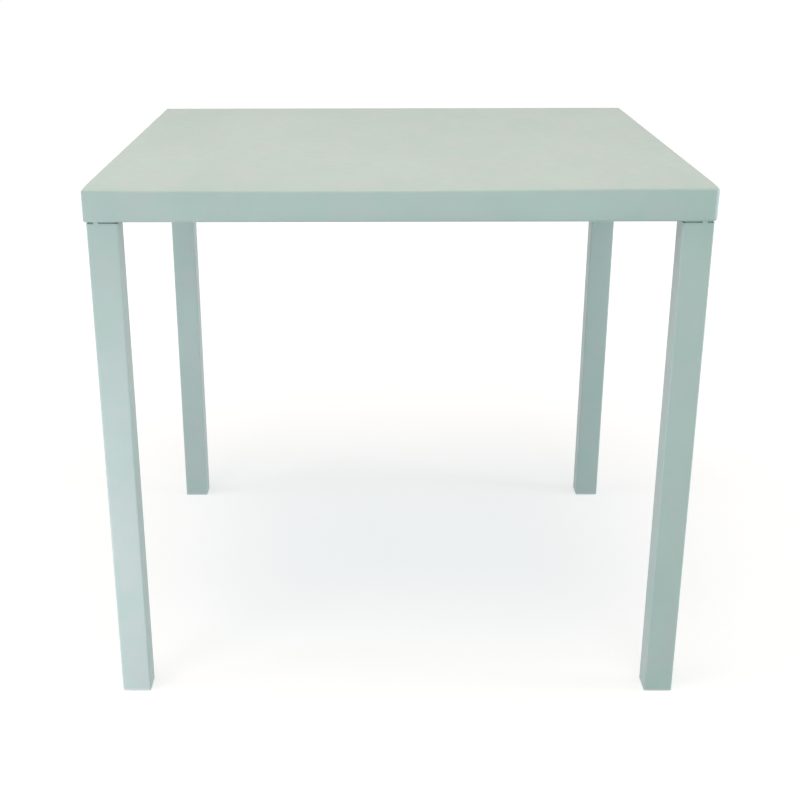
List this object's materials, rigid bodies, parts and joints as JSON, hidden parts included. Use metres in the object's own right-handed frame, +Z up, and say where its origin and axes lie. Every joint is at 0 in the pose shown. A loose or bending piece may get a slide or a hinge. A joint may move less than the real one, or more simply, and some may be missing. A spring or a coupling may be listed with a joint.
{
  "type": "extending outdoor dining table",
  "caption": "Square folded-steel outdoor table on straight square legs, with a draw leaf stored under the top that pulls out at one end on rollers.",
  "frame": {"origin": "on the floor under the middle of the closed table", "axes": "+Z up, +X the way the draw leaf pulls out, -Y the front that the picture shows"},
  "size_m": [0.8, 0.8, 0.72],
  "materials": {
    "powder_coated_steel": "satin sage-green powder coat on folded steel",
    "zinc_plated_steel": "bright zinc plating",
    "nylon": "moulded natural nylon",
    "foot_plastic": "moulded plastic, tinted to match the frame"
  },
  "bodies": {
    "root": {"table_top": "powder_coated_steel", "top_stiffener_1": "powder_coated_steel", "top_stiffener_2": "powder_coated_steel", "top_stiffener_3": "powder_coated_steel", "top_stiffener_4": "powder_coated_steel", "leg_front_left": "powder_coated_steel", "leg_front_right": "powder_coated_steel", "leg_rear_left": "powder_coated_steel", "leg_rear_right": "powder_coated_steel", "foot_plug_front_left": "foot_plastic", "foot_plug_front_right": "foot_plastic", "foot_plug_rear_left": "foot_plastic", "foot_plug_rear_right": "foot_plastic", "corner_bracket_front_left": "powder_coated_steel", "corner_bracket_front_right": "powder_coated_steel", "corner_bracket_rear_left": "powder_coated_steel", "corner_bracket_rear_right": "powder_coated_steel", "side_rail_front": "powder_coated_steel", "side_rail_rear": "powder_coated_steel", "cross_strap_middle": "powder_coated_steel", "cross_strap_mouth": "powder_coated_steel", "roller_axles": "zinc_plated_steel", "axle_nuts": "zinc_plated_steel", "rail_bolts": "zinc_plated_steel", "rail_nut_plates": "zinc_plated_steel", "bracket_bolts": "zinc_plated_steel", "bracket_nut_plates": "zinc_plated_steel", "strap_bolts": "zinc_plated_steel", "strap_nuts": "zinc_plated_steel"},
    "leaf": {"leaf_panel": "powder_coated_steel", "leaf_stiffener_inner": "powder_coated_steel", "leaf_stiffener_outer": "powder_coated_steel", "runner_front": "powder_coated_steel", "runner_rear": "powder_coated_steel", "runner_tie": "powder_coated_steel", "closing_stops": "nylon", "opening_stops": "nylon", "stop_screws": "zinc_plated_steel"},
    "roller_middle_front": {"roller_middle_front": "nylon"},
    "roller_middle_rear": {"roller_middle_rear": "nylon"},
    "roller_mouth_front": {"roller_mouth_front": "nylon"},
    "roller_mouth_rear": {"roller_mouth_rear": "nylon"}
  },
  "joints": [
    {"name": "leaf_slide", "type": "slide", "parent": "root", "child": "leaf", "axis": [1, 0, 0], "range_m": [0, 0.4]},
    {"name": "roller_middle_front_spin", "type": "hinge", "parent": "root", "child": "roller_middle_front", "pos_m": [0.099, -0.33075, 0.695], "axis": [0, 1, 0], "continuous": true},
    {"name": "roller_middle_rear_spin", "type": "hinge", "parent": "root", "child": "roller_middle_rear", "pos_m": [0.099, 0.33075, 0.695], "axis": [0, 1, 0], "continuous": true},
    {"name": "roller_mouth_front_spin", "type": "hinge", "parent": "root", "child": "roller_mouth_front", "pos_m": [0.345, -0.33075, 0.695], "axis": [0, 1, 0], "continuous": true},
    {"name": "roller_mouth_rear_spin", "type": "hinge", "parent": "root", "child": "roller_mouth_rear", "pos_m": [0.345, 0.33075, 0.695], "axis": [0, 1, 0], "continuous": true}
  ],
  "couplings": [
    {"joint": "roller_middle_front_spin", "follows": "leaf_slide", "rad_per_m": 93.458},
    {"joint": "roller_middle_rear_spin", "follows": "leaf_slide", "rad_per_m": 93.458},
    {"joint": "roller_mouth_front_spin", "follows": "leaf_slide", "rad_per_m": 93.458},
    {"joint": "roller_mouth_rear_spin", "follows": "leaf_slide", "rad_per_m": 93.458}
  ]
}
